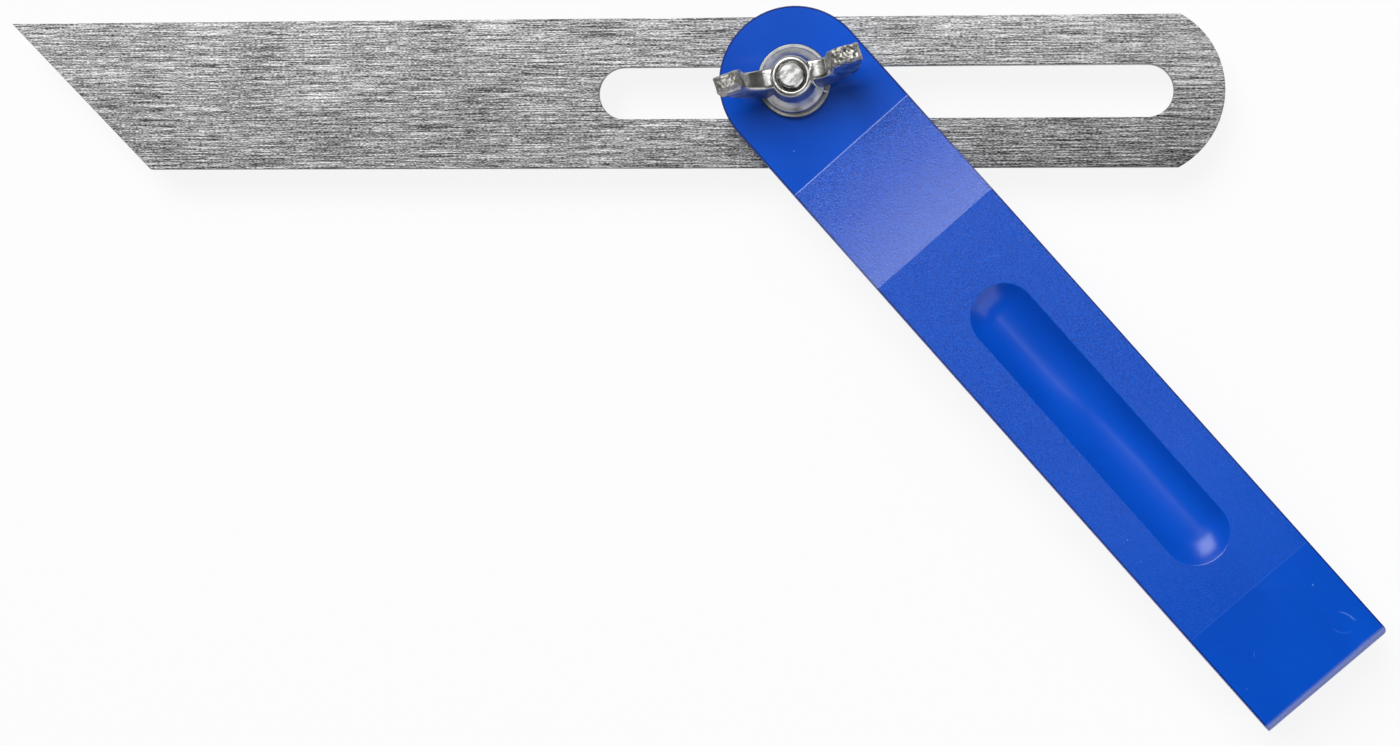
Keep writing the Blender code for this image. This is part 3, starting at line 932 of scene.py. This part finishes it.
def add_lip(piece):
    """Adds the raised line's mesh to the nut's."""
    holder = add_object("lip", lip_curve())
    holder.matrix_world = FROM_NUT
    mesh = evaluated_mesh(holder)
    mesh.transform(holder.matrix_world)
    bpy.data.objects.remove(holder)
    with edited(piece.data) as shape:
        shape.from_mesh(mesh)
    print("lip", len(mesh.vertices), "points")


nut = merged_copy("wing_nut", "cast_wing_nut")
add_lip(nut)

# %% [markdown]
# The real wings aren't as true as the CAD's. Each tip is a block a little wider than its web and
# twisted against it, the right wing is bent and its block stands farther in, and the skirt at
# the nut's foot flares. Each of these is a shift that grows smoothly with the distance from the
# nut's axis or with height, so the casting bends and never tears.

# %% Bent wings
# Lengths are in millimetres, in the nut's own frame
WING_FOOT, WING_RAISED = 7.0, 9.5
WING_LEAN, WING_LEAN_HEIGHT = 0.4, 13.5
BLOCK_START, BLOCK_FULL, BLOCK_MIDDLE = 8.9, 9.5, 12.2
BLOCK_WIDENING = 0.24
LEFT_TWIST, RIGHT_TWIST = math.radians(8.0), math.radians(6.0)
RIGHT_BEND, BEND_START, BEND_FULL = 0.75, 5.0, 9.5
RIGHT_SHIFT, SHIFT_START, SHIFT_FULL = 1.2, 6.0, 9.3
END_STAYS, END_START, END_FULL = 0.6, 10.0, 14.5
SKIRT_FLARE, SKIRT_LOW, SKIRT_HIGH = 0.035, 1.0, 3.5
SKIRT_INNER, SKIRT_OUTER = 4.0, 6.0


def bend_right_wing(local, raised):
    """Bends the right wing sideways and moves its block inwards, the outer end by less."""
    local.y += RIGHT_BEND * raised * smooth_step(local.x, BEND_START, BEND_FULL)
    share = smooth_step(local.x, SHIFT_START, SHIFT_FULL)
    moved = 1 - END_STAYS * smooth_step(local.x, END_START, END_FULL)
    local.x -= RIGHT_SHIFT * raised * share * moved


def twist_block(local, block_x, block_y, angle):
    """Turns a point about the upright line through the middle of its block."""
    x, y = Matrix.Rotation(angle, 2) @ Vector((local.x - block_x, local.y - block_y))
    local.x, local.y = x + block_x, y + block_y


def flare_skirt(local):
    """Widens the nut near its lower face, outside the bore."""
    low = 1 - smooth_step(local.z, SKIRT_LOW, SKIRT_HIGH)
    skirt = low * smooth_step(math.hypot(local.x, local.y), SKIRT_INNER, SKIRT_OUTER)
    local.x *= 1 + SKIRT_FLARE * skirt
    local.y *= 1 + SKIRT_FLARE * skirt


def bend_wings(mesh):
    """Gives the wings their blocks, their twist and their bend, and the nut its flared foot."""
    for vertex in mesh.vertices:
        local = to_nut(vertex.co)
        raised = smooth_step(local.z, WING_FOOT, WING_RAISED)
        block = smooth_step(abs(local.x), BLOCK_START, BLOCK_FULL) * raised
        middle = WING_LEAN * local.z / WING_LEAN_HEIGHT
        local.y = middle + (local.y - middle) * (1 + BLOCK_WIDENING * block)
        if local.x > 0:
            bend_right_wing(local, raised)
            twist_block(local, BLOCK_MIDDLE, middle, RIGHT_TWIST * block)
        else:
            twist_block(local, -BLOCK_MIDDLE, middle, LEFT_TWIST * block)
        flare_skirt(local)
        vertex.co = from_nut(local)
    mesh.update()


print("right wing bent by", RIGHT_BEND, "mm")

# %% [markdown]
# The tips were trimmed after casting. The left one is nearly smooth, the right one rough and
# chipped. A Displace modifier would need a weight for every point and could push outwards too, so
# the points are moved in Python, always inwards, and the nut stays in the CAD's box. Cells make
# the chips, and two sizes of noise make lumps and pits.

# %% Chipped tips
LEFT_TIP_START, RIGHT_TIP_START, TIP_FADE = 9.2, 8.4, 0.7
TRIM_LOW, TRIM_HIGH = 10.8, 12.8
LEFT_ROUGHNESS, RIGHT_ROUGHNESS = 0.25, 1.0
TRIM_DEPTH, LUMP_DEPTH, CHIP_DEPTH, PIT_DEPTH = 0.30, 0.45, 0.30, 0.10
SKIN_DEPTH, SKIN_LUMPS, SKIN_PITS = 0.05, 0.07, 0.02
LUMP_OFFSET = Vector((3.1, 0.0, 0.0))


def carve_depth(spot):
    """How far the casting is cut back at a point of the nut's own frame, in millimetres."""
    start = RIGHT_TIP_START if spot.x > 0 else LEFT_TIP_START
    broken = RIGHT_ROUGHNESS if spot.x > 0 else LEFT_ROUGHNESS
    tip = smooth_step(math.hypot(spot.x, spot.y), start, start + TIP_FADE)
    top = tip * smooth_step(spot.z, TRIM_LOW, TRIM_HIGH)
    chip_place = (spot.x * 0.75 + spot.y * 0.5, spot.y * 0.6 - spot.x * 0.2, 0.0)
    chips = noise.cell(Vector(chip_place)) - 0.5
    lumps = noise.noise(spot * 0.9 + LUMP_OFFSET)
    pits = noise.noise(spot * 2.0)
    trimmed = TRIM_DEPTH + broken * (LUMP_DEPTH * lumps + CHIP_DEPTH * chips) + PIT_DEPTH * pits
    skin = SKIN_DEPTH + SKIN_LUMPS * lumps + SKIN_PITS * pits
    return max(top * trimmed + tip * skin, 0.0)


def carve_casting(mesh):
    """Cuts the casting back at its tips, along the normals that it had before."""
    normals = [vertex.normal.copy() for vertex in mesh.vertices]
    for vertex, normal in zip(mesh.vertices, normals):
        vertex.co -= normal * carve_depth(to_nut(vertex.co)) * MM
    mesh.update()


print("tips trimmed by about", TRIM_DEPTH, "mm")

# %% [markdown]
# The order matters. The remesh comes first, because the bend and the carving need its even
# points. Four rounds of smoothing then relax its steps into fillets, and one more after the
# carving takes off the noise's sharpest corners.

# %% Casting put together
VOXEL_SIZE = 0.14 * MM
ROUNDS_BEFORE, ROUNDS_AFTER = 4, 1


def relax_mesh(piece, rounds):
    """Moves every point towards the middle of its neighbours, a few times over."""
    relax = piece.modifiers.new("relax", "SMOOTH")
    relax.factor = 0.5
    relax.iterations = rounds
    apply_modifiers(piece)


remesh = nut.modifiers.new("even_faces", "REMESH")
remesh.mode = "VOXEL"
remesh.voxel_size = VOXEL_SIZE
apply_modifiers(nut)
relax_mesh(nut, ROUNDS_BEFORE)
bend_wings(nut.data)
carve_casting(nut.data)
relax_mesh(nut, ROUNDS_AFTER)
nut.data.shade_smooth()
print("casting", len(nut.data.vertices), "points")

# %% [markdown]
# The trimmed tips show bare rough zinc and the rest bright plate, so the nut's finish changes
# with the distance from its own axis and with height. The left tip is the smoother one here too.

# %% Cast zinc
PLATE_DARK, PLATE_LIGHT = (0.34, 0.335, 0.32), (0.60, 0.595, 0.575)
BARE_DARK, BARE_LIGHT, BARE_EVEN = (0.13, 0.125, 0.115), (0.66, 0.65, 0.61), (0.33, 0.32, 0.30)
CASTING_SPECK = (0.14, 0.14, 0.13)


def cast_zinc():
    """Zinc plate on the casting's skin, and bare zinc where the tips were trimmed."""
    finish = Finish("cast_zinc", Metallic=1.0)
    place = finish.place()
    x, y, height = finish.split(place)
    along_wings = finish.split(finish.turned(place, NUT_TURN))[0]
    broken = along_wings.step(-1 * MM, 1 * MM)
    out = flat_distance(x, y) + broken * 0.9 * MM
    trimmed = out.step(9.3 * MM, 9.8 * MM) * (height - NUT_BOTTOM).step(11.2 * MM, 12.4 * MM)

    cloud = finish.noise(place, 330.0, 3.0, 0.55)
    speck = finish.noise(place, 1700.0, 3.0, 0.65)
    dents = finish.noise(place, 750.0, 2.0, 0.5)
    plate = finish.mix(cloud.step(0.3, 0.7), PLATE_DARK, PLATE_LIGHT)
    bare = finish.mix(speck.step(0.36, 0.62), BARE_DARK, BARE_LIGHT)
    bare = finish.mix(0.7 - broken * 0.7, bare, BARE_EVEN)
    colour = finish.mix(trimmed, plate, bare)
    colour = finish.mix(speck.step(0.60, 0.72) * 0.45, colour, CASTING_SPECK)
    finish.drive("Base Color", colour)
    finish.drive("Roughness", 0.24 + cloud * 0.16 + trimmed * 0.22)
    grain = finish.bump(speck, 0.06 * MM, 0.30 + trimmed * broken * 0.5)
    grain = finish.bump(dents, 0.12 * MM, 0.35, grain)
    finish.drive("Normal", finish.bump(cloud, 0.15 * MM, 0.30, grain))
    return finish


dress(nut, "wing_nut", "wing_nut", cast_zinc(), "wing_nut")

# %% [markdown]
# Round the bolt the nut was machined, so its bore has a bright chamfered ring that the remesh
# would blur. The ring is a profile turned about the axis. A Screw modifier would do it too, but a
# short loop closes the last face on the first without a seam to weld.

# %% Thread ring
RING_STEPS = 96
RING_PROFILE = (
    # radius and height in the nut's own frame: up the bore, over the chamfer, down outside
    (2.57, 0.5),
    (2.57, 7.15),
    (2.95, 7.65),
    (3.35, 7.65),
    (3.35, 0.5),
)


def add_thread_ring():
    """The nut's thread, seen as a narrow chamfered ring round the bolt."""
    corners, faces = [], []
    count = len(RING_PROFILE)
    for step in range(RING_STEPS):
        angle = 2 * math.pi * step / RING_STEPS
        for radius, height in RING_PROFILE:
            x, y = radius * MM * math.cos(angle), radius * MM * math.sin(angle)
            corners.append((x, y, height * MM))
        here, there = step * count, (step + 1) % RING_STEPS * count
        for row in range(count):
            after = (row + 1) % count
            faces.append((here + row, here + after, there + after, there + row))
    mesh = bpy.data.meshes.new("thread_ring")
    mesh.from_pydata(corners, [], faces)
    mesh.transform(FROM_NUT)
    mesh.update()
    with edited(mesh) as shape:
        bmesh.ops.recalc_face_normals(shape, faces=shape.faces)
    return add_object("thread_ring", mesh)


ring = add_thread_ring()
soften(ring, sharp_angle=30.0)
dress(ring, "wing_nut", "wing_nut", zinc, "wing_nut")

# %% [markdown]
# ## The bolt and its thread
#
# The bolt's thread follows a rule: at every height the ridge has turned a little further. So a
# Geometry Nodes tree rolls a flat grid into a tube, and lets the radius of each point follow the
# ridge's triangular wave, never wider than the cone of the chamfer at the end. The first and the
# last row of the grid shrink to a point and close the tube. Modelling one turn and repeating it
# with an Array would be the other way, but then the sizes couldn't be changed as one.

# %% Thread tree
BOLT_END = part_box("pivot_bolt")[1].z
BOLT_RADIUS = 2.5 * MM
THREAD_PITCH = 0.8 * MM
THREAD_DEPTH = 0.45 * MM
SHANK_START = 3.0 * MM
END_CHAMFER = 0.55 * MM
GRID_COLUMNS, GRID_ROWS = 64, 240
SHARED_NODES = ("Math", "CombineXYZ", "SeparateXYZ")


class GeometryTree(Nodes):
    """A Geometry Nodes tree under construction, with sums as for the finishes."""

    def __init__(self, name):
        super().__init__(bpy.data.node_groups.new(name, "GeometryNodeTree"))
        sockets = self.tree.interface
        sockets.new_socket("Geometry", in_out="OUTPUT", socket_type="NodeSocketGeometry")
        self.start = self.tree.nodes.new("NodeGroupInput")
        self.end = self.tree.nodes.new("NodeGroupOutput")

    def family(self, kind):
        return "ShaderNode" if kind in SHARED_NODES else "GeometryNode"

    def size(self, name, value):
        """A named input for a size, read back as a wire."""
        sockets = self.tree.interface
        made = sockets.new_socket(name, in_out="INPUT", socket_type="NodeSocketFloat")
        made.default_value = value
        return Wire(self, self.start.outputs[name])


def thread_surface(build, angle, share):
    """The place of the grid's points on the thread, from their angle and share of the length."""
    radius = build.size("Radius", BOLT_RADIUS)
    pitch = build.size("Pitch", THREAD_PITCH)
    depth = build.size("Depth", THREAD_DEPTH)
    start = build.size("Start", SHANK_START)
    length = build.size("Length", BOLT_END - SHANK_START)
    chamfer = build.size("Chamfer", END_CHAMFER)
    height = share * length
    turn = height / pitch - angle / (2 * math.pi)
    wave = build.sum_of("PINGPONG", turn, 0.5) * 2
    ridge = radius - depth + depth * wave
    cone = radius - chamfer + (length - height)
    rows_from_end = share.lesser(1 - share) * GRID_ROWS
    reach = ridge.lesser(cone) * build.sum_of("GREATER_THAN", rows_from_end, 0.5)
    x = reach * build.sum_of("COSINE", angle)
    y = reach * build.sum_of("SINE", angle)
    return build.node("CombineXYZ", None, {0: x, 1: y, 2: start + height})


def thread_tree(material):
    """The whole tree: a grid, rolled on to the thread's surface, welded and painted."""
    build = GeometryTree("threaded_shank")
    counts = {"Vertices X": GRID_COLUMNS + 1, "Vertices Y": GRID_ROWS + 1}
    grid = build.node("MeshGrid", None, {"Size X": 2 * math.pi, "Size Y": 1.0, **counts})
    angle, share, _ = build.split(build.node("InputPosition"))
    place = thread_surface(build, angle, share + 0.5)
    rolled = build.node("SetPosition", None, {"Geometry": grid, "Position": place})
    welding = {"Geometry": rolled, "Distance": WELD_DISTANCE}
    welded = build.node("MergeByDistance", None, welding)
    smooth = build.node("SetShadeSmooth", None, {"Geometry": welded, "Shade Smooth": True})
    real = build.node("RealizeInstances", None, {"Geometry": smooth})
    painted = build.node("SetMaterial", None, {"Geometry": real, "Material": material})
    build.feed(build.end.inputs[0], painted)
    return build.tree


print("thread", round((BOLT_END - SHANK_START) / THREAD_PITCH, 1), "turns")

# %% [markdown]
# The bolt is plated like the rest. Its cut end is dull with a few grey smudges, and between them it
# is painted pale white, a painted highlight that stands in for the light it catches. A metal would
# mirror the dark room there, so Metallic falls to 0 over the bolt's last 0.4 mm.

# %% Bolt zinc
BOLT_GREY = (0.60, 0.60, 0.59)
END_SMUDGE, END_HIGHLIGHT_WHITE = (0.36, 0.36, 0.35), (0.93, 0.93, 0.92)
SMUDGE_SLANT = 0.6


def bolt_zinc():
    """Zinc plate on the thread, with a dull smudged end painted pale white as a highlight."""
    finish = Finish("bolt_zinc")
    place = finish.place()
    height = finish.split(place)[2]
    end = height.step(BOLT_END - 0.4 * MM, BOLT_END - 0.1 * MM)
    smudge_place = finish.turned(place, SMUDGE_SLANT, (0.5, 1.0, 1.0))
    smudge = finish.noise(smudge_place, 900.0, 3.0, 0.6)
    dents = finish.noise(place, 520.0, 2.0, 0.5)
    # Painted highlight: the end is painted pale white between its grey smudges.
    pale = finish.mix(smudge.step(0.40, 0.56), END_SMUDGE, END_HIGHLIGHT_WHITE)
    finish.drive("Base Color", finish.mix(end, BOLT_GREY, pale))
    finish.drive("Roughness", 0.24 + end * 0.26)
    finish.drive("Metallic", 1 - end)
    finish.drive("Normal", finish.bump(dents * 0.6 + smudge * 0.4, 0.20 * MM, 0.45))
    return finish


bolt_finish = bolt_zinc()
print(bolt_finish.material.name, len(bolt_finish.tree.nodes), "nodes")

# %% [markdown]
# A Nodes modifier runs the tree on an empty mesh. Its inputs are set by their identifiers before
# it is first evaluated, and its result then becomes a plain mesh. Rolling a grid can leave the
# faces pointing inwards, so the normals are recalculated. A positive volume shows that they point
# outwards.

# %% Threaded shank
THREAD_SHARP_ANGLE = 28

shank = add_object("threaded_shank", bpy.data.meshes.new("threaded_shank"))
thread = shank.modifiers.new("thread", "NODES")
thread.node_group = thread_tree(bolt_finish.material)
for item in thread.node_group.interface.items_tree:
    if item.in_out == "INPUT":
        thread[item.identifier] = item.default_value
apply_modifiers(shank)
with edited(shank.data) as shape:
    bmesh.ops.recalc_face_normals(shape, faces=shape.faces)
    print("thread volume", round(shape.calc_volume(signed=True) / MM**3, 1), "mm3")
shank.data.set_sharp_from_angle(angle=math.radians(THREAD_SHARP_ANGLE))

# %% [markdown]
# Below the thread the bolt has its hexagon head, sunk in the underside of the stock. It is the
# CAD's head, cut free of the plain shank just under its upper face, closed again and with its
# edges broken. A new hexagon would have to be fitted to the CAD's.

# %% Hexagon head
HEAD_CUT = Vector((0.0, 0.0, 3.49 * MM))
UPWARDS = Vector((0.0, 0.0, 1.0))


def cut_head_free(piece):
    """Takes off everything above the cut and closes the hole."""
    with edited(piece.data) as shape:
        geometry = everything(shape)
        cut = bmesh.ops.bisect_plane(
            shape, geom=geometry, plane_co=HEAD_CUT, plane_no=UPWARDS, clear_outer=True
        )
        rim = [part for part in cut["geom_cut"] if isinstance(part, bmesh.types.BMEdge)]
        bmesh.ops.contextual_create(shape, geom=rim)
        bmesh.ops.recalc_face_normals(shape, faces=shape.faces)


head = merged_copy("pivot_bolt", "hexagon_head")
cut_head_free(head)
break_edges(head, width=0.12 * MM, angle=20.0)
soften(head, sharp_angle=35.0)
dress(head, "stock", "pivot_bolt", zinc, "pivot_bolt")
dress(shank, "stock", "pivot_bolt", bolt_finish, "pivot_bolt")
